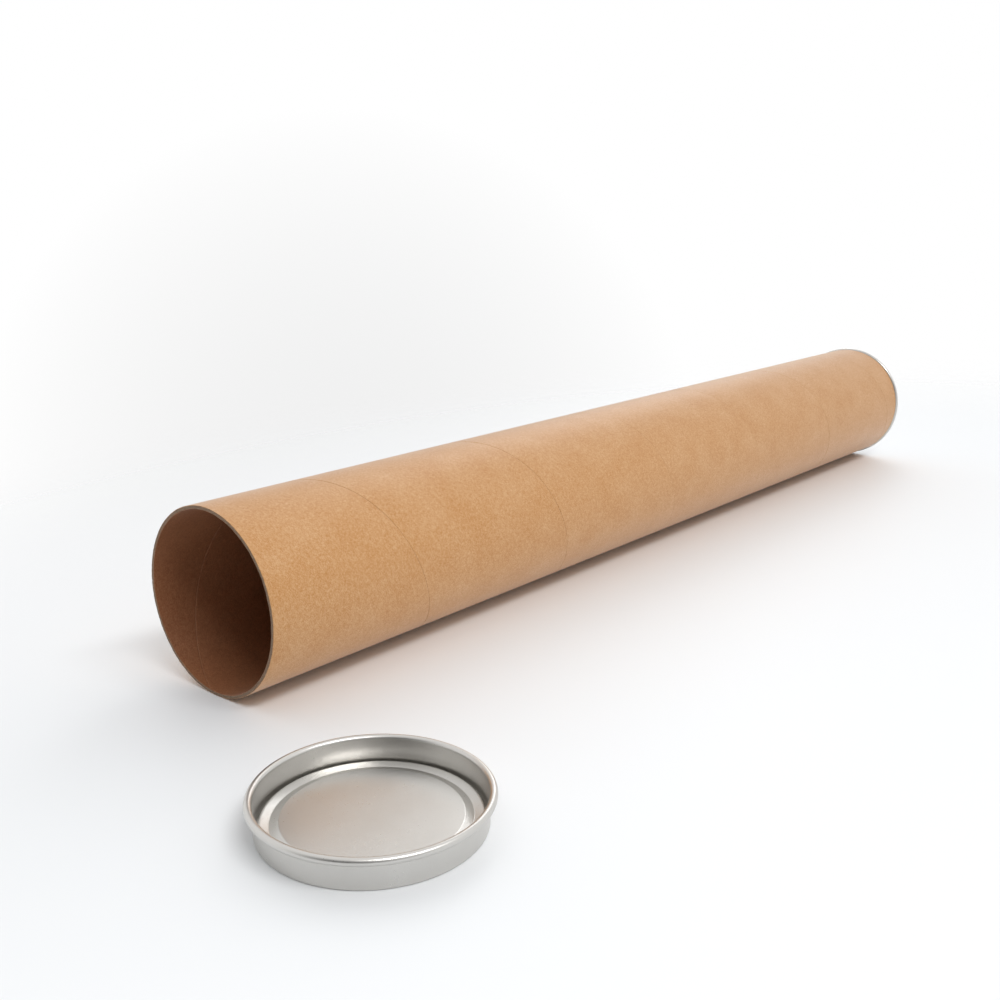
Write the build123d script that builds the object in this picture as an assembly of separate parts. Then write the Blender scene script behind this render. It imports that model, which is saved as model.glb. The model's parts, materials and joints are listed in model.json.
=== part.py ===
import os
from math import asin, atan2, cos, degrees, hypot, sin

from build123d import *

# A spiral-wound cardboard mailing tube that lies on its side along +X, with a pressed
# tinplate cap fitted in its far end and the mouth's own cap lying open side up beside it.
# Millimetres, +Z up, the floor at Z = 0, the origin in the middle of the footprint.

# Tube
TUBE_LENGTH = 750.0
TUBE_BORE_RADIUS = 48.0
TUBE_WALL = 2.0

# Winding: the outer and inner plies are ribbons that leave a fine butt seam
PLY_PITCH = 125.4
SEAM_WIDTH = 0.5
SEAM_DEPTH = 0.3
OUTER_SEAM_AT = 8.5
INNER_SEAM_AT = 124.0

# Cap, pressed from one disc: flat panel, shallow ring groove, countersink, wall, curled rim
SHEET = 0.3
CAP_FIT_GAP = 0.05
CAP_WALL_HEIGHT = 13.3
CURL_RADIUS = 1.75
CURL_OPENING = 52.0
COUNTERSINK_WIDTH = 1.4
COUNTERSINK_FLAT = 0.1
PANEL_HEIGHT = 4.3
GROOVE_DEPTH = 1.3
GROOVE_OUTER_SLOPE = 4.6
GROOVE_INNER_SLOPE = 3.75
PANEL_BEND = 1.5
GROOVE_BEND = 1.0
SHOULDER_BEND = 0.9
CAP_SEAT_GAP = 0.1

# Where the loose cap lies, from the middle of the mouth
LOOSE_CAP_BEYOND_MOUTH = 33.5
LOOSE_CAP_ASIDE = 151.0

# Worked-out sizes
TUBE_RADIUS = TUBE_BORE_RADIUS + TUBE_WALL
HALF_SHEET = SHEET / 2
WALL_MID_RADIUS = TUBE_BORE_RADIUS - CAP_FIT_GAP - HALF_SHEET
LEG_MID_RADIUS = WALL_MID_RADIUS - COUNTERSINK_WIDTH - SHEET
GROOVE_RADIUS = LEG_MID_RADIUS - GROOVE_OUTER_SLOPE
PANEL_RADIUS = GROOVE_RADIUS - GROOVE_INNER_SLOPE
COUNTERSINK_BEND = (WALL_MID_RADIUS - LEG_MID_RADIUS - COUNTERSINK_FLAT) / 2
CURL_SWEEP = 360 - CURL_OPENING
CURL_MID_RADIUS = CURL_RADIUS - HALF_SHEET
CURL_CENTRE_RADIUS = WALL_MID_RADIUS + CURL_MID_RADIUS
RIM_RADIUS = CURL_CENTRE_RADIUS + CURL_RADIUS
SEAT_HEIGHT = CAP_WALL_HEIGHT - CURL_RADIUS


def offset_corners(corners, bends, side):
    """One face of the sheet: the mid-line's corners moved by half the sheet, with bends to suit."""
    points = [Vector(*corner, 0) for corner in corners]
    ways = [(b - a).normalized() for a, b in zip(points, points[1:])]
    normals = [Vector(-way.Y, way.X, 0) * side for way in ways]
    moved = [points[0] + normals[0] * HALF_SHEET]
    radii = []
    for corner, before, after, bend, way, next_way in zip(
        points[1:], normals, normals[1:], bends, ways, ways[1:]
    ):
        moved.append(corner + (before + after) * (HALF_SHEET / (1 + before.dot(after))))
        turn = way.X * next_way.Y - way.Y * next_way.X
        radii.append(bend - HALF_SHEET * side if turn > 0 else bend + HALF_SHEET * side)
    moved.append(points[-1] + normals[-1] * HALF_SHEET)
    return moved, radii


def cap_section():
    """The pressed sheet cut through its middle, from the axis out to the end of its curl."""
    corners = [
        (0, PANEL_HEIGHT - HALF_SHEET),
        (PANEL_RADIUS, PANEL_HEIGHT - HALF_SHEET),
        (GROOVE_RADIUS, PANEL_HEIGHT - GROOVE_DEPTH - HALF_SHEET),
        (LEG_MID_RADIUS, PANEL_HEIGHT - HALF_SHEET),
        (LEG_MID_RADIUS, HALF_SHEET),
        (WALL_MID_RADIUS, HALF_SHEET),
        (WALL_MID_RADIUS, CAP_WALL_HEIGHT),
    ]
    bends = [PANEL_BEND, GROOVE_BEND, SHOULDER_BEND, COUNTERSINK_BEND, COUNTERSINK_BEND]
    curl_centre = (CURL_CENTRE_RADIUS, CAP_WALL_HEIGHT)
    faces = []
    for side, curl_radius in ((1, CURL_RADIUS), (-1, CURL_RADIUS - SHEET)):
        points, radii = offset_corners(corners, bends, side)
        pressed = FilletPolyline(*points, radius=radii)
        curl = CenterArc(curl_centre, curl_radius, 180, -CURL_SWEEP)
        faces.append((pressed, curl))
    (upper, outer_curl), (lower, inner_curl) = faces
    ends = [Line(upper @ 0, lower @ 0), Line(outer_curl @ 1, inner_curl @ 1)]
    return make_face(Curve() + [upper, outer_curl, lower, inner_curl, *ends])


def make_cap():
    """The cap standing open side up, with its countersink on Z = 0."""
    return revolve(Plane.XZ * cap_section(), Axis.Z, 360)


def seam_turns(radius, seam_at):
    """One cutter for each turn of a ply's butt seam, sunk by the seam's depth at this radius."""
    start = seam_at % PLY_PITCH - PLY_PITCH
    while start < TUBE_LENGTH:
        path = Pos(0, 0, start) * Helix(pitch=PLY_PITCH, height=PLY_PITCH, radius=radius)
        across = Plane(origin=path @ 0, x_dir=Vector(1, 0, 0), z_dir=path % 0)
        yield sweep(across * Rectangle(2 * SEAM_DEPTH, SEAM_WIDTH), path=path, is_frenet=True)
        start += PLY_PITCH


def make_tube():
    """The wound tube standing on its mouth, with the seams of its outer and inner plies."""
    low = (Align.CENTER, Align.CENTER, Align.MIN)
    tube = Cylinder(TUBE_RADIUS, TUBE_LENGTH, align=low)
    tube -= Cylinder(TUBE_BORE_RADIUS, TUBE_LENGTH, align=low)
    for radius, seam_at in ((TUBE_RADIUS, OUTER_SEAM_AT), (TUBE_BORE_RADIUS, INNER_SEAM_AT)):
        for turn in seam_turns(radius, seam_at):
            tube -= turn
    return tube


# The far cap's rim stands proud of the tube, so the tube leans until mouth and rim both touch down
RIM_ALONG = TUBE_LENGTH + CAP_SEAT_GAP + CURL_RADIUS
RIM_PROUD = CURL_CENTRE_RADIUS - TUBE_RADIUS
LEAN = max(0.0, asin(CURL_RADIUS / hypot(RIM_ALONG, RIM_PROUD)) + atan2(RIM_PROUD, RIM_ALONG))
FAR_REACH = RIM_ALONG * cos(LEAN) + CURL_CENTRE_RADIUS * sin(LEAN) + CURL_RADIUS
MOUTH_X = (LOOSE_CAP_BEYOND_MOUTH + RIM_RADIUS - FAR_REACH) / 2
MOUTH_Y = LOOSE_CAP_ASIDE / 2
MOUTH_Z = TUBE_RADIUS * cos(LEAN)

lay_down = Pos(MOUTH_X, MOUTH_Y, MOUTH_Z) * Rot(0, 90 - degrees(LEAN), 0)
seat_in_far_end = lay_down * Pos(0, 0, TUBE_LENGTH + CAP_SEAT_GAP - SEAT_HEIGHT)
put_aside = Pos(MOUTH_X - LOOSE_CAP_BEYOND_MOUTH, MOUTH_Y - LOOSE_CAP_ASIDE, 0)

nodes = {
    "tube": lay_down * make_tube(),
    "far_cap": seat_in_far_end * make_cap(),
    "loose_cap": put_aside * make_cap(),
}

os.makedirs("parts", exist_ok=True)
for name, solid in nodes.items():
    export_step(solid, f"parts/{name}.step")
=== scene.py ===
"""The looks of a cardboard mailing tube: a wound kraft wall and two pressed tinplate caps."""
import json

import bmesh
import bpy
import numpy as np
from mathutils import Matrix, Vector


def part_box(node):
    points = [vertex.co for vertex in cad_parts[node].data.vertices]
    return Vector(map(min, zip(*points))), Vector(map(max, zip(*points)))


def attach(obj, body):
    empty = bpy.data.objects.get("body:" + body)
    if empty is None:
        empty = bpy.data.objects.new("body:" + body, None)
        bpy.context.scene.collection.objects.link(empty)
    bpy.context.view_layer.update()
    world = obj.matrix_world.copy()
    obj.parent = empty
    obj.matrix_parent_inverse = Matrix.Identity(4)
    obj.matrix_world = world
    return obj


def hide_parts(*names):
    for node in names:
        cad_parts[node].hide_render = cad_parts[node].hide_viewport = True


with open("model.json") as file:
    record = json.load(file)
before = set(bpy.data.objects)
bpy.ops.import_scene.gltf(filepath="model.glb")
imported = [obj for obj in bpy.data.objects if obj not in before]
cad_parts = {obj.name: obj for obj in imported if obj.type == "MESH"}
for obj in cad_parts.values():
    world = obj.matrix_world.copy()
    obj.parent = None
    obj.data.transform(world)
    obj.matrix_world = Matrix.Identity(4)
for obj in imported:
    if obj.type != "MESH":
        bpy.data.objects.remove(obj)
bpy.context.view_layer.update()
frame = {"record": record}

# Lengths are in metres, angles in radians
TURN = 2 * np.pi

# Points this close become one, and an edge this short is dropped
WELD_DISTANCE = 2e-6
SLIVER_LENGTH = 1e-7

# The tube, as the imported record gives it
mounts = {mount["name"]: mount for mount in frame["record"]["mounts"]}
MOUTH = np.array(mounts["mouth"]["pos_m"])
AXIS = -np.array(mounts["mouth"]["axis"])
ACROSS = np.array([0.0, 1.0, 0.0])
DOWN = np.cross(ACROSS, AXIS)
BORE_RADIUS = mounts["mouth"]["dims"]["r_mm"] / 1000
TUBE_RADIUS = mounts["outside"]["dims"]["r_mm"] / 1000
TUBE_LENGTH = mounts["outside"]["dims"]["length_mm"] / 1000
LYING = np.array([DOWN, ACROSS, AXIS])
TUBE_SHARP_ANGLE = np.radians(30)

# The tube's finishes, each by its place in the list of materials
OUTSIDE, INSIDE, SAWN = range(3)

# Winding of the outer and inner plies, and what is seen at their butt seams. A point nearer to a seam's
# middle line than BESIDE_SEAM lies on it
PLY_PITCH = 0.1254
OUTER_SEAM_AT = 0.0085
INNER_SEAM_AT = 0.124
STEPS_PER_TURN = 300
SEAM_HALF_GAP = 0.00021
SEAM_DEPTH = 0.0003
SEAM_STEEPNESS = 6
EDGE_LIFT = 0.00006
EDGE_LIFT_FROM = -0.35
EDGE_LIFT_TO = 0.9
EDGE_REACH = 0.0011
BESIDE_SEAM = 1e-7
PAPER_SLACK = 0.00007
ROWS_BESIDE_SEAM = np.array([0.1, 0.2, 0.32, 0.55, 1.1, 2.2, 5.5, 25.0]) / 1000

# How far a seam stands open at these places along the tube, as shares of its full depth, the ripple on
# that and the least of it, and the width of a shut seam as a share of an open one's
OPENNESS_ALONG = (0.0, 0.14, 0.24, 0.3, 0.36, 0.42, 0.5, 0.62, 0.75)
OPENNESS = (0.66, 0.6, 0.48, 0.38, 0.24, 0.3, 0.2, 0.32, 0.26)
OPENNESS_RIPPLE = 0.14
OPENNESS_LEAST = 0.08
SHUT_WIDTH = 0.6

# The wall's cut ends. Ripples, the bevel's mean and the rows' fuzz are shares of the sizes above them
CUT_WANDER = 0.00012
WANDER_RIPPLE = 0.7
CUT_BEVEL = 0.00022
BEVEL_MEAN = 0.75
BEVEL_RIPPLE = 0.35
CUT_FUZZ = 0.00005
ROW_FUZZ = 0.6
PLIES = 5
ROWS_PER_PLY = 3

# Ripples: the wave numbers that each one adds up, and the seed of its phases
OPENNESS_WAVES = (0.7, 1.9, 4.3, 9.1)
OPENNESS_SEED = 3
LIFT_WAVES = (0.9, 2.3, 5.7)
LIFT_SEED = 8
WANDER_WAVES = (1, 2, 3)
WANDER_SEED = 21
FUZZ_WAVES = (17, 41, 83, 131)
FUZZ_SEED = 23
BEVEL_WAVES = (3, 7, 19, 43, 97)
BEVEL_SEED = 31
ROW_WAVES = (5, 13, 29, 61, 113)
ROW_SEED = 50
FAR_ROW_SEED = 70
BUCKLE_WAVES = (2, 3, 5)

# The caps, pressed from one disc
SHEET = 0.0003
CAP_FIT_GAP = 0.00005
CAP_WALL_HEIGHT = 0.0133
CURL_RADIUS = 0.00175
CURL_SWEEP = np.radians(308)
COUNTERSINK_WIDTH = 0.0014
COUNTERSINK_FLAT = 0.0001
PANEL_HEIGHT = 0.0043
GROOVE_DEPTH = 0.0013
GROOVE_OUTER_SLOPE = 0.0046
GROOVE_INNER_SLOPE = 0.00375
PANEL_BEND = 0.0015
GROOVE_BEND = 0.001
SHOULDER_BEND = 0.0009
CAP_SEAT_GAP = 0.0001

# How finely a cap is drawn. The wall's rows are shares of its height, and the panel's rings are radii
CAP_SEGMENTS = 288
STEPS_PER_BEND = 9
STEPS_PER_CURL = 40
ROW_BEYOND_BEND = 0.00015
WALL_SHARES = np.linspace(0.25, 0.98, 5)
PANEL_RINGS = np.array([0.0, 2.0, 5.0, 9.0, 13.0, 17.0, 21.0, 25.0, 29.0, 33.0, 36.0]) / 1000
CAP_SHARP_ANGLE = np.radians(40)

# The panel's slight buckle, full between two radii and gone at a third, and its dish
PANEL_BUCKLE = 0.00004
BUCKLE_FULL_FROM = 0.03
BUCKLE_FULL_TO = 0.034
BUCKLE_END = 0.0395
DISH_DEPTH = 0.00008
DISH_RADIUS = 0.036

# The camera, from the floor point under the mouth's middle
CAMERA_FROM_MOUTH = (-0.32001, -0.46128, 0.24817)
CAMERA_HEADING = (0.76340, 0.64593)
CAMERA_PITCH = np.radians(14.954)
LENS = 41.4088
SENSOR = 36.0


def ripple(at, waves, seed):
    """A smooth random curve: a sine for each wave number, with random phases, over the count's root."""
    phases = np.random.default_rng(seed).uniform(0, TURN, len(waves))
    return sum(np.sin(wave * at + phase) for wave, phase in zip(waves, phases)) / np.sqrt(len(waves))


def smooth_step(low, high, value):
    """0 at low and beyond it, 1 at high and beyond it, and the cubic 3t2 - 2t3 between. Low may be the
    larger of the two."""
    t = np.clip((value - low) / (high - low), 0, 1)
    return t * t * (3 - 2 * t)


def grid_faces(rows, columns, closed=False, flipped=False):
    """The quads of a grid of points numbered row by row; closed joins the last row to the first, and
    flipped turns every quad over."""
    row = np.arange(rows if closed else rows - 1)[:, None]
    column = np.arange(columns - 1)[None, :]
    next_row = (row + 1) % rows
    quads = np.stack(np.broadcast_arrays(
        row * columns + column,
        next_row * columns + column,
        next_row * columns + column + 1,
        row * columns + column + 1,
    ), axis=-1).reshape(-1, 4)
    return quads[:, ::-1] if flipped else quads


def make_piece(name, parts, sharp_angle):
    """One mesh from parts, each with its points, quads, uv, shade and finish. Doubled points are joined,
    and edges steeper than the angle stay sharp."""
    mesh = bpy.data.meshes.new(name)
    starts = np.cumsum([0] + [len(part["points"]) for part in parts])
    points = np.concatenate([part["points"] for part in parts])
    quads = np.concatenate([part["quads"] + start for part, start in zip(parts, starts)])
    mesh.from_pydata(points, [], quads)
    uv = np.concatenate([part["uv"] for part in parts])
    mesh.uv_layers.new(name="winding").data.foreach_set("uv", uv[quads.ravel()].astype(np.float32).ravel())
    shade = np.concatenate([part["shade"] for part in parts])
    mesh.attributes.new("shade", "FLOAT", "POINT").data.foreach_set("value", shade.astype(np.float32))
    finishes = np.concatenate([np.full(len(part["quads"]), part["finish"]) for part in parts])
    mesh.polygons.foreach_set("material_index", finishes.astype(np.int32))
    built = bmesh.new()
    built.from_mesh(mesh)
    bmesh.ops.remove_doubles(built, verts=built.verts, dist=WELD_DISTANCE)
    bmesh.ops.dissolve_degenerate(built, edges=built.edges, dist=SLIVER_LENGTH)
    built.to_mesh(mesh)
    built.free()
    mesh.shade_smooth()
    mesh.set_sharp_from_angle(angle=sharp_angle)
    piece = bpy.data.objects.new(name, mesh)
    bpy.context.scene.collection.objects.link(piece)
    return piece


# The tube

def on_tube(theta, along, radius):
    """The point at an angle theta round the axis, measured from the lowest line: the mouth's middle, plus
    radius times (cos theta down + sin theta across), plus along times the axis."""
    theta, along, radius = np.broadcast_arrays(theta, along, radius)
    local = np.stack([radius * np.cos(theta), radius * np.sin(theta), along], axis=-1)
    return MOUTH + local.reshape(-1, 3) @ LYING


def seam_relief(theta, along, radius, seam_at):
    """How far the ply stands above its own face: minus depth / (1 + (distance / half gap)^6) in the gap,
    with distance square to the nearest seam, plus lift * exp(-distance / reach) on the ply's leading edge,
    minus the slack that keeps a lifted edge inside the solid. A table along the tube and slow ripples of
    the wound angle close the gap here and there. The gap's share of the full depth comes second."""
    turns = (along - seam_at) / PLY_PITCH - theta / TURN
    nearest = np.round(turns)
    wound = theta + nearest * TURN
    square = np.cos(np.arctan(PLY_PITCH / (TURN * radius)))
    distance = (turns - nearest) * PLY_PITCH * square
    kept_open = np.interp(seam_at + wound * PLY_PITCH / TURN, OPENNESS_ALONG, OPENNESS)
    varied = kept_open + OPENNESS_RIPPLE * ripple(wound, OPENNESS_WAVES, OPENNESS_SEED)
    open_share = np.clip(varied, OPENNESS_LEAST, 1)
    half_gap = SEAM_HALF_GAP * (SHUT_WIDTH + (1 - SHUT_WIDTH) * open_share)
    gap = -SEAM_DEPTH * open_share / (1 + (distance / half_gap) ** SEAM_STEEPNESS)
    lifted = smooth_step(EDGE_LIFT_FROM, EDGE_LIFT_TO, ripple(wound, LIFT_WAVES, LIFT_SEED))
    edge = EDGE_LIFT * lifted * np.exp(-np.abs(distance) / EDGE_REACH) * (distance > BESIDE_SEAM)
    return gap + edge - PAPER_SLACK, -gap / SEAM_DEPTH


def cut_line(theta, far):
    """Where the saw cut lies along the tube: a little inside the true end, by a ripple of the angle."""
    wander = CUT_WANDER * (1 + WANDER_RIPPLE * ripple(theta, WANDER_WAVES, WANDER_SEED + far))
    inset = np.maximum(wander + CUT_FUZZ * ripple(theta, FUZZ_WAVES, FUZZ_SEED + far), 0)
    return TUBE_LENGTH - inset if far else inset


def bevel_size(theta, far, inner):
    """How far the cut's worn corner reaches, by a ripple of the angle."""
    worn = ripple(theta, BEVEL_WAVES, BEVEL_SEED + 2 * far + inner)
    return CUT_BEVEL * (BEVEL_MEAN + BEVEL_RIPPLE * worn)


def ply_face(radius, seam_at, inner, finish):
    """A ply's face as a ribbon wound round the tube: along = seam_at + pitch * angle / turn + across, held
    between the two cut ends, and quads wholly past a cut are left out. The seam's relief is added to the
    outer radius and taken from the inner one."""
    first = int(np.floor((-seam_at / PLY_PITCH - 1) * STEPS_PER_TURN)) - 1
    last = int(np.ceil((TUBE_LENGTH - seam_at) / PLY_PITCH * STEPS_PER_TURN)) + 1
    wound = np.arange(first, last + 1)[:, None] * TURN / STEPS_PER_TURN
    lead = np.arctan(PLY_PITCH / (TURN * radius))
    beside = ROWS_BESIDE_SEAM / np.cos(lead)
    across = np.concatenate([[0], beside, [PLY_PITCH / 2], PLY_PITCH - beside[::-1], [PLY_PITCH]])[None, :]
    free = seam_at + PLY_PITCH * wound / TURN + across
    low = cut_line(wound, far=False) + bevel_size(wound, far=False, inner=inner)
    high = cut_line(wound, far=True) - bevel_size(wound, far=True, inner=inner)
    along = np.clip(free, low, high)
    relief, gap = seam_relief(wound, along, radius, seam_at)
    points = on_tube(wound, along, radius - relief if inner else radius + relief)
    quads = grid_faces(wound.size, across.size, flipped=inner)
    past_cut = np.where(free < low, -1, np.where(free > high, 1, 0)).ravel()[quads]
    quads = quads[np.abs(past_cut.sum(axis=1)) < quads.shape[1]]
    round_way = np.broadcast_to(radius * wound, free.shape)
    uv = np.stack([
        round_way * np.cos(lead) + along * np.sin(lead),
        along * np.cos(lead) - round_way * np.sin(lead),
    ], axis=-1).reshape(-1, 2)
    return {"points": points, "quads": quads, "uv": uv, "shade": gap.ravel(), "finish": finish}


def cut_end(far):
    """The sawn end of the wall: from the outer face over a worn corner, straight in across the plies with a
    fine step at each glue line, and over the bore's corner. Each row's depth is a ripple of the angle."""
    theta = (np.arange(STEPS_PER_TURN) * TURN / STEPS_PER_TURN)[:, None]
    rows = PLIES * ROWS_PER_PLY
    share = np.arange(rows + 1) / rows
    inward = -1 if far else 1
    cut = cut_line(theta, far)
    bevel_out = bevel_size(theta, far, inner=False)
    bevel_in = bevel_size(theta, far, inner=True)
    start_out = cut + inward * bevel_out
    start_in = cut + inward * bevel_in
    outer = TUBE_RADIUS + seam_relief(theta, start_out, TUBE_RADIUS, OUTER_SEAM_AT)[0]
    inner = BORE_RADIUS - seam_relief(theta, start_in, BORE_RADIUS, INNER_SEAM_AT)[0]
    radius = (outer - bevel_out) + share[None, :] * ((inner + bevel_in) - (outer - bevel_out))
    glue = (np.arange(rows + 1) % ROWS_PER_PLY == 0)[None, :]
    seeds = (FAR_ROW_SEED if far else ROW_SEED) + np.arange(rows + 1)
    row_ripple = np.concatenate([ripple(theta, ROW_WAVES, seed) for seed in seeds], axis=1)
    along = cut + inward * (CUT_FUZZ * (ROW_FUZZ + ROW_FUZZ * row_ripple) + CUT_FUZZ * glue)
    radius = np.concatenate([outer, radius, inner], axis=1)
    along = np.concatenate([start_out, along, start_in], axis=1)
    points = on_tube(theta, along, radius)
    quads = grid_faces(STEPS_PER_TURN, radius.shape[1], closed=True, flipped=not far)
    uv = np.stack(np.broadcast_arrays(TUBE_RADIUS * theta, radius), axis=-1).reshape(-1, 2)
    shade = np.pad(np.broadcast_to(glue, along[:, 1:-1].shape).astype(float), ((0, 0), (1, 1)))
    finishes = np.tile([OUTSIDE] + [SAWN] * rows + [INSIDE], STEPS_PER_TURN)
    return {"points": points, "quads": quads, "uv": uv, "shade": shade.ravel(), "finish": finishes}


# The caps

def cap_section():
    """The sheet's mid-line from the cap's axis out to the end of its curl, and its direction at each point.
    The legs are straight, and an arc of the bend's radius, tangent to both legs, replaces each corner. A
    row just beyond each end of an arc keeps the legs flat in the shading. The curl is an arc that turns
    outwards and down, its centre level with the top of the wall."""
    wall = BORE_RADIUS - CAP_FIT_GAP - SHEET / 2
    leg = wall - COUNTERSINK_WIDTH - SHEET
    groove = leg - GROOVE_OUTER_SLOPE
    panel = groove - GROOVE_INNER_SLOPE
    top = PANEL_HEIGHT - SHEET / 2
    countersink_bend = (wall - leg - COUNTERSINK_FLAT) / 2
    corners = np.array([
        (0, top), (panel, top), (groove, top - GROOVE_DEPTH), (leg, top),
        (leg, SHEET / 2), (wall, SHEET / 2), (wall, CAP_WALL_HEIGHT),
    ])
    bends = [PANEL_BEND, GROOVE_BEND, SHOULDER_BEND, countersink_bend, countersink_bend]
    legs = np.diff(corners, axis=0)
    headings = np.arctan2(legs[:, 1], legs[:, 0])
    points = [np.stack([PANEL_RINGS, np.full(PANEL_RINGS.shape, top)], axis=-1)]
    angles = [np.zeros(PANEL_RINGS.shape)]
    for corner, bend, before, after in zip(corners[1:], bends, headings, headings[1:]):
        turn = after - before
        heading = np.linspace(before, after, STEPS_PER_BEND)
        into = np.array([np.cos(before), np.sin(before)])
        start = corner - into * bend * abs(np.tan(turn / 2))
        side = np.sign(turn) * bend
        centre = start + side * np.array([-into[1], into[0]])
        arc = centre - side * np.stack([-np.sin(heading), np.cos(heading)], axis=-1)
        out = np.array([np.cos(after), np.sin(after)])
        row_before = arc[0] - ROW_BEYOND_BEND * into
        row_after = arc[-1] + ROW_BEYOND_BEND * out
        points.append(np.concatenate([[row_before], arc, [row_after]]))
        angles.append(np.concatenate([[before], heading, [after]]))
    curl_mid = CURL_RADIUS - SHEET / 2
    heading = np.linspace(np.pi / 2, np.pi / 2 - CURL_SWEEP, STEPS_PER_CURL)
    curl_centre = np.array([wall + curl_mid, CAP_WALL_HEIGHT])
    rim = curl_centre + curl_mid * np.stack([-np.sin(heading), np.cos(heading)], axis=-1)
    wall_rows = WALL_SHARES[:, None] * (corners[-1] - corners[-2]) + corners[-2]
    points += [wall_rows, rim]
    angles += [np.full(WALL_SHARES.shape, np.pi / 2), heading]
    return np.concatenate(points), np.concatenate(angles)


def pressed_cap(name, origin, axes, seed):
    """The section's two faces, half a sheet to each side of the mid-line, turned about the cap's own axis.
    A slow ripple of the angle and a shallow dish give the panel the slight buckle of pressed sheet."""
    middle, heading = cap_section()
    aside = SHEET / 2 * np.stack([-np.sin(heading), np.cos(heading)], axis=-1)
    section = np.concatenate([middle + aside, (middle - aside)[::-1]])
    section[[0, -1], 0] = 0
    phi = (np.arange(CAP_SEGMENTS) * TURN / CAP_SEGMENTS)[:, None]
    radius, height = section[None, :, 0], section[None, :, 1]
    reach = smooth_step(0.0, BUCKLE_FULL_FROM, radius) * smooth_step(BUCKLE_END, BUCKLE_FULL_TO, radius)
    buckle = PANEL_BUCKLE * reach * ripple(phi, BUCKLE_WAVES, seed)
    dish = -DISH_DEPTH * smooth_step(DISH_RADIUS, 0.0, radius)
    local = np.broadcast_arrays(radius * np.cos(phi), radius * np.sin(phi), height + buckle + dish)
    points = origin + np.stack(local, axis=-1).reshape(-1, 3) @ axes
    quads = grid_faces(CAP_SEGMENTS, section.shape[0], closed=True, flipped=True)
    flat = np.zeros((len(points), 2))
    part = {"points": points, "quads": quads, "uv": flat, "shade": flat[:, 0], "finish": 0}
    return make_piece(name, [part], CAP_SHARP_ANGLE)


# Finishes: noise scales are per metre, and these are the depths of their bumps

PAPER_GRAIN_DEPTH = 0.00006
SAWN_FUZZ_DEPTH = 0.00014
TIN_GRAIN_DEPTH = 0.00005


class Value:
    """One output of a shader node; arithmetic on it adds the Math nodes for it."""

    def __init__(self, finish, output):
        self.finish = finish
        self.output = output

    def math(self, operation, other):
        return self.finish.node("Math", {"operation": operation}, {0: self, 1: other})

    def __add__(self, other):
        return self.math("ADD", other)

    def __mul__(self, other):
        return self.math("MULTIPLY", other)

    def __sub__(self, other):
        return self.math("SUBTRACT", other)

    def __rsub__(self, other):
        return self.finish.node("Math", {"operation": "SUBTRACT"}, {0: other, 1: self})

    __radd__ = __add__
    __rmul__ = __mul__

    def between(self, low, high, way="LINEAR"):
        """0 at low, 1 at high, and straight or eased between them."""
        settings = {"interpolation_type": way}
        return self.finish.node("MapRange", settings, {"Value": self, "From Min": low, "From Max": high})


class Finish:
    """A node tree under construction; every node in it is made by node()."""

    def __init__(self, owner):
        owner.use_nodes = True
        self.tree = owner.node_tree
        self.tree.nodes.clear()

    def node(self, kind, settings=None, inputs=None, output=0):
        """Adds a node: settings are its properties, or stops for a ramp's colours; an input is linked when
        it is a Value and else set. Gives one output of the node, by place or name."""
        made = self.tree.nodes.new("ShaderNode" + kind)
        for name, value in (settings or {}).items():
            if name == "stops":
                ramp = made.color_ramp.elements
                while len(ramp) < len(value):
                    ramp.new(0.5)
                for element, (position, colour) in zip(ramp, value):
                    element.position = position
                    element.color = (*colour, 1)
            else:
                setattr(made, name, value)
        for name, value in (inputs or {}).items():
            if isinstance(value, Value):
                self.tree.links.new(value.output, made.inputs[name])
            else:
                made.inputs[name].default_value = value
        return Value(self, made.outputs[output]) if made.outputs else None

    def stretched(self, where, scale):
        """The same places, scaled by a factor of its own along each direction."""
        return self.node("Mapping", {}, {"Vector": where, "Scale": scale})

    def noise(self, where, scale, detail=2.0, roughness=0.5):
        """Smooth noise; its scale is one number, or a tuple of one for each direction."""
        if isinstance(scale, tuple):
            where = self.stretched(where, scale)
            scale = 1.0
        inputs = {"Vector": where, "Scale": scale, "Detail": detail, "Roughness": roughness}
        return self.node("TexNoise", {}, inputs)

    def blend(self, share, first, second):
        """A mix of two colours; the node's colour inputs are 6 and 7 and its colour output is 2."""
        return self.node("Mix", {"data_type": "RGBA"}, {0: share, 6: first, 7: second}, 2)

    def lobe(self, direction, aim, begins, full):
        """0 to 1 as a direction turns towards an aim: their dot product between two limits."""
        facing = self.node("VectorMath", {"operation": "DOT_PRODUCT"}, {0: direction, 1: aim}, "Value")
        return facing.between(begins, full)

    def ramp(self, share, stops):
        return self.node("ValToRGB", {"stops": stops}, {"Fac": share})

    def bump(self, height, distance):
        return self.node("Bump", {}, {"Height": height, "Strength": 1.0, "Distance": distance})


def linear(red, green, blue):
    """Screen values from 0 to 255 as the light values that shaders take."""
    screen = np.array([red, green, blue]) / 255
    light = np.where(screen <= 0.04045, screen / 12.92, ((screen + 0.055) / 1.055) ** 2.4)
    return tuple(light.tolist())


def material(name, build, *values):
    """A material whose node tree and shader build() makes from these values."""
    made = bpy.data.materials.new(name)
    finish = Finish(made)
    shader = build(finish, *values)
    finish.node("OutputMaterial", {}, {"Surface": shader})
    return made


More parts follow.
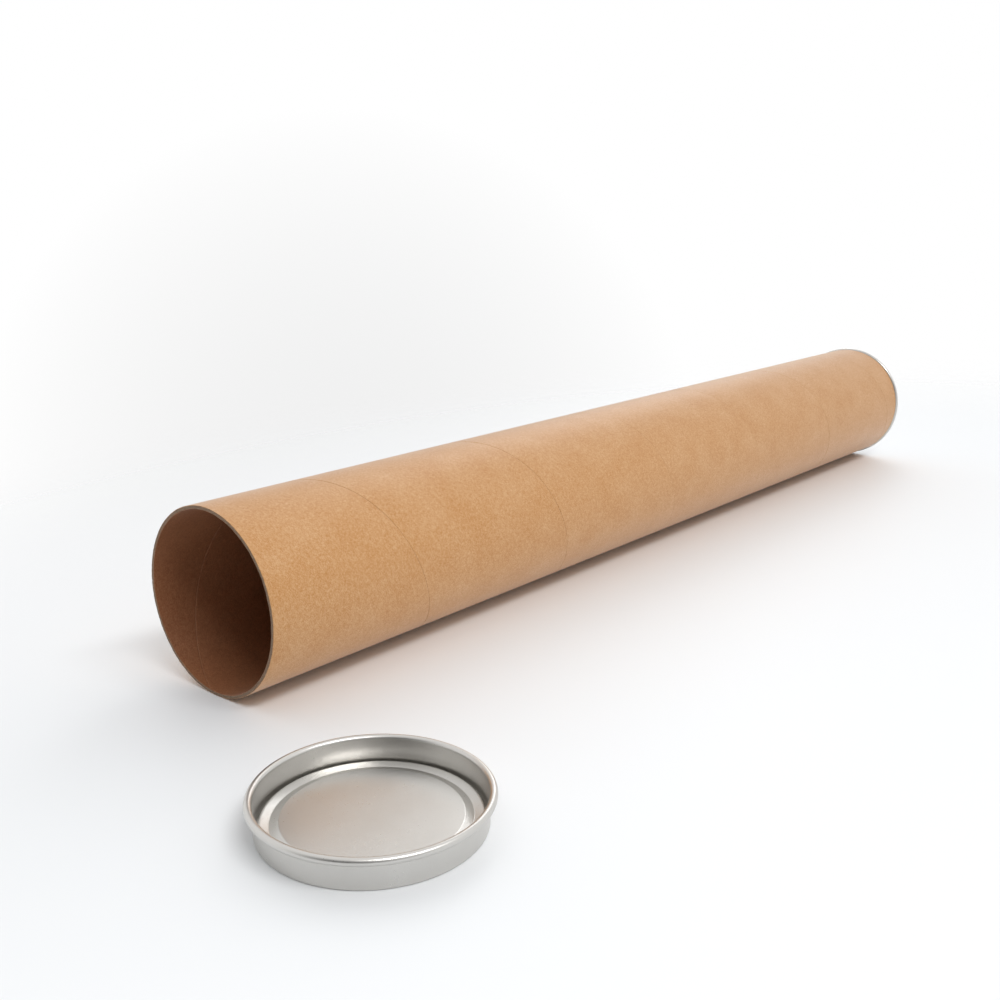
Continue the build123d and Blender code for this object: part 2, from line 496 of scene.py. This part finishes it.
def kraft_paper(finish, brown, tan, pale, beneath_and_shade, sheen):
    """Kraft liner: soft clouds and mottle, fibres drawn out along the winding, fine grain, and a few dark
    and pale specks. The gap at a seam is painted darker: the ply under it, and painted shade in the groove."""
    winding = finish.node("UVMap", {"uv_map": "winding"})
    gap = finish.node("Attribute", {"attribute_name": "shade"}, {}, "Fac")
    clouds = finish.noise(winding, 44, detail=3, roughness=0.65)
    mottle = finish.noise(winding, (380, 500, 1), detail=3, roughness=0.75)
    fibres = finish.noise(winding, (900, 2300, 1))
    grain = finish.noise(winding, 3600, detail=1)
    tone = clouds * 0.14 + mottle * 0.29 + fibres * 0.38 + grain * 0.19
    paper = finish.ramp(tone, [(0.4, brown), (0.5, tan), (0.6, pale)])
    dark_specks = finish.noise(winding, (760, 1150, 1), detail=1).between(0.7, 0.79)
    pale_specks = finish.noise(winding, (540, 2100, 5), detail=1).between(0.71, 0.8)
    paper = finish.blend(dark_specks * 0.45, paper, (*brown, 1))
    paper = finish.blend(pale_specks * 0.35, paper, (*pale, 1))
    # Painted shade: the seam's gap is darkened towards the ply under it, and this also stands in for the
    # shade in the groove
    paper = finish.blend(gap * 0.45, paper, (*beneath_and_shade, 1))
    height = fibres * 0.5 + grain * 0.35 + mottle * 0.6
    return finish.node("BsdfPrincipled", {}, {
        "Base Color": paper,
        "Roughness": 0.42 + mottle * 0.16,
        "Sheen Weight": sheen,
        "Sheen Roughness": 0.35,
        "Normal": finish.bump(height, PAPER_GRAIN_DEPTH),
    })


def cut_board(finish, dark, grey, pale):
    """The sawn plies: grey-brown fuzz, darker along each glue line and drawn out round the wall."""
    winding = finish.node("UVMap", {"uv_map": "winding"})
    glue = finish.node("Attribute", {"attribute_name": "shade"}, {}, "Fac")
    torn = finish.noise(winding, (520, 4200, 1), detail=3, roughness=0.65)
    fuzz = finish.noise(winding, 2600)
    tone = torn * 0.55 + fuzz * 0.45 - glue * 0.09
    board = finish.ramp(tone, [(0.34, dark), (0.5, grey), (0.68, pale)])
    return finish.node("BsdfPrincipled", {}, {
        "Base Color": board,
        "Roughness": 0.9,
        "Specular IOR Level": 0.2,
        "Normal": finish.bump(torn + fuzz, SAWN_FUZZ_DEPTH),
    })


def tinplate(finish, colour, stain):
    """Satin tinplate: fine grain drawn out along the sheet's rolling, soft dull clouds and faint scuffs."""
    place = finish.node("TexCoord", {}, {}, "Object")
    rolling = finish.noise(place, (300, 2400, 2400))
    grain = finish.noise(place, 1300)
    clouds = finish.noise(place, 55, detail=3, roughness=0.6)
    scuffs = finish.noise(place, (900, 130, 900)).between(0.66, 0.74)
    metal = finish.blend(clouds.between(0.35, 0.75) * 0.25, (*colour, 1), (*stain, 1))
    return finish.node("BsdfPrincipled", {}, {
        "Base Color": metal,
        "Metallic": 1.0,
        "Roughness": 0.2 + grain * 0.16 + clouds * 0.06 + scuffs * 0.04,
        "Normal": finish.bump(rolling * 0.6 + grain * 0.6 + scuffs * 0.3, TIN_GRAIN_DEPTH),
    })


KRAFT_BROWN = linear(187, 127, 62)
KRAFT_TAN = linear(201, 149, 94)
KRAFT_PALE = linear(215, 172, 128)
# The seam gap's colour: the ply under it, and painted shade in the groove
KRAFT_BENEATH_AND_SHADE = linear(152, 104, 64)
KRAFT_SHEEN = 0.45
# The inside ply's colours are darker than the outside's: partly its own tone, partly painted shade for the
# dark bore
LINER_SHADED_BROWN = linear(135, 84, 53)
LINER_SHADED_TAN = linear(153, 101, 68)
LINER_SHADED_PALE = linear(170, 117, 83)
LINER_SHEEN = 0.1
BOARD_DARK = linear(110, 88, 71)
BOARD_GREY = linear(152, 128, 108)
BOARD_PALE = linear(194, 172, 150)
TIN = linear(208, 206, 202)
TIN_DULL = linear(194, 191, 186)

kraft = (KRAFT_BROWN, KRAFT_TAN, KRAFT_PALE, KRAFT_BENEATH_AND_SHADE, KRAFT_SHEEN)
# The inside ply takes the darker colours, which are partly painted shade
liner = (LINER_SHADED_BROWN, LINER_SHADED_TAN, LINER_SHADED_PALE, KRAFT_BENEATH_AND_SHADE, LINER_SHEEN)
tube_finishes = {
    OUTSIDE: material("kraft_liner_outside", kraft_paper, *kraft),
    INSIDE: material("kraft_liner_inside", kraft_paper, *liner),
    SAWN: material("sawn_board", cut_board, BOARD_DARK, BOARD_GREY, BOARD_PALE),
}
tin = material("satin_tinplate", tinplate, TIN, TIN_DULL)

# The pieces

tube = make_piece("wound_tube", [
    ply_face(TUBE_RADIUS, OUTER_SEAM_AT, inner=False, finish=OUTSIDE),
    ply_face(BORE_RADIUS, INNER_SEAM_AT, inner=True, finish=INSIDE),
    cut_end(far=False),
    cut_end(far=True),
], TUBE_SHARP_ANGLE)
for place in sorted(tube_finishes):
    tube.data.materials.append(tube_finishes[place])
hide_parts("tube")
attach(tube, "tube")

low, high = (np.array(corner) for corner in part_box("loose_cap"))
loose_origin = np.array([(low[0] + high[0]) / 2, (low[1] + high[1]) / 2, low[2]])
seated_origin = MOUTH + AXIS * (TUBE_LENGTH + CAP_SEAT_GAP - (CAP_WALL_HEIGHT - CURL_RADIUS))
for name, node, body, origin, axes, seed in (
    ("removed_cap", "loose_cap", "tube", loose_origin, np.eye(3), 4),
    ("seated_cap", "far_cap", "far_cap", seated_origin, LYING, 9),
):
    cap = pressed_cap(name, origin, axes, seed)
    cap.data.materials.append(tin)
    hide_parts(node)
    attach(cap, body)

# The studio: a pale floor that clears into a plain pale world, with painted shade straight ahead that
# greys the backdrop behind the object. The camera sees that world, and so do mirrors, except behind the
# camera. The light that falls on things comes from a dome: white beyond the object and below, greyer at
# the sides, and dark straight out from the mouth

FLOOR_HALF = 4.0
FLOOR_AT = (0.05, 0.0, 0.0)
FLOOR_CLEAR_FROM = 0.2
FLOOR_CLEAR_TO = 0.74
FLOOR_STRETCH = (0.6, 1.0, 1.0)
FLOOR_COLOUR = linear(246, 248, 250)
SKY_WHITE = 1.0
SKY_SIDE = 0.5
SKY_DARK = 0.04
SKY_ABOVE = 0.2
# How much painted shade greys the backdrop behind the object
SKY_BACKDROP_SHADE = 0.12

# Parts of the sky: the aim of each, and the dot products at which it begins and is full
AHEAD = ((*CAMERA_HEADING, -0.2), 0.1, 0.45)
BELOW = ((0.0, 0.0, -1.0), -0.05, 0.05)
ABOVE = ((0.0, 0.0, 1.0), 0.25, 0.8)
MOUTHWARDS = ((-1.0, 0.0, 0.0), 0.4, 0.88)
BACKDROP_SHADE = ((0.6526, 0.7215, -0.2307), 0.955, 0.998)
BEHIND_CAMERA = ((-0.68, -0.58, 0.45), 0.4, 0.9)

# Lamps: the way to each from the tube's middle, the distance, the two sides and the power
KEY_LAMP = ((-0.2, -0.585, 0.785), 2.5, 1.6, 0.4, 22.8)
BACK_LAMP = ((0.75, 0.41, 0.52), 2.0, 0.7, 1.2, 4.4)


def pale_floor(finish, colour):
    """A plain floor that turns clear away from the object, so that no edge or horizon shows."""
    place = finish.stretched(finish.node("TexCoord", {}, {}, "Object"), FLOOR_STRETCH)
    distance = finish.node("VectorMath", {"operation": "LENGTH"}, {0: place}, "Value")
    clear = distance.between(FLOOR_CLEAR_FROM, FLOOR_CLEAR_TO, "SMOOTHERSTEP")
    board = finish.node("BsdfPrincipled", {}, {
        "Base Color": (*colour, 1),
        "Roughness": 0.5,
        "Specular IOR Level": 0.3,
    })
    nothing = finish.node("BsdfTransparent")
    return finish.node("MixShader", {}, {0: clear, 1: board, 2: nothing})


def studio_sky(sky):
    """The dome's light for what it falls on, and the plain world for the camera and most mirrors."""
    direction = sky.node("TexCoord", {}, {}, "Generated")
    white = sky.lobe(direction, *AHEAD).math("MAXIMUM", sky.lobe(direction, *BELOW))
    dark = sky.lobe(direction, *MOUTHWARDS) * (1 - white)
    dome = white * (SKY_WHITE - SKY_SIDE) + SKY_SIDE - dark * (SKY_SIDE - SKY_DARK)
    dome = dome + sky.lobe(direction, *ABOVE) * SKY_ABOVE
    # Painted shade: the world that the camera sees is greyed straight ahead, behind the object
    plain = SKY_WHITE - sky.lobe(direction, *BACKDROP_SHADE) * SKY_BACKDROP_SHADE
    seen = sky.node("LightPath", {}, {}, "Is Camera Ray")
    mirrored = sky.node("LightPath", {}, {}, "Is Glossy Ray")
    shows_plain = seen + mirrored * (1 - sky.lobe(direction, *BEHIND_CAMERA))
    shade = dome + shows_plain * (plain - dome)
    return sky.node("Background", {}, {"Color": shade, "Strength": 1.0})


def soft_box(name, way, distance, width, height, power):
    """A flat rectangular lamp that faces the tube's middle."""
    lamp = bpy.data.lights.new(name, "AREA")
    lamp.shape = "RECTANGLE"
    lamp.size = width
    lamp.size_y = height
    lamp.energy = power
    middle = MOUTH + AXIS * TUBE_LENGTH / 2
    box = bpy.data.objects.new(name, lamp)
    box.location = middle + distance * np.array(way)
    box.rotation_euler = (Vector(middle) - box.location).to_track_quat("-Z", "Y").to_euler()
    bpy.context.scene.collection.objects.link(box)


floor_mesh = bpy.data.meshes.new("floor")
corners = [(x * FLOOR_HALF, y * FLOOR_HALF, 0) for x, y in ((-1, -1), (1, -1), (1, 1), (-1, 1))]
floor_mesh.from_pydata(corners, [], [(0, 1, 2, 3)])
floor = bpy.data.objects.new("floor", floor_mesh)
floor.location = FLOOR_AT
bpy.context.scene.collection.objects.link(floor)
floor.data.materials.append(material("pale_floor", pale_floor, FLOOR_COLOUR))

world = bpy.data.worlds.new("studio")
bpy.context.scene.world = world
sky = Finish(world)
sky.node("OutputWorld", {}, {"Surface": studio_sky(sky)})

soft_box("key", *KEY_LAMP)
soft_box("back", *BACK_LAMP)

# The camera

camera = bpy.data.objects.new("camera", bpy.data.cameras.new("camera"))
camera.data.lens = LENS
camera.data.sensor_width = SENSOR
camera.location = Vector((MOUTH[0], MOUTH[1], 0)) + Vector(CAMERA_FROM_MOUTH)
look = Vector((*(np.cos(CAMERA_PITCH) * np.array(CAMERA_HEADING)), -np.sin(CAMERA_PITCH)))
camera.rotation_euler = look.to_track_quat("-Z", "Y").to_euler()
bpy.context.scene.collection.objects.link(camera)
bpy.context.scene.camera = camera
bpy.context.scene.view_settings.view_transform = "Standard"
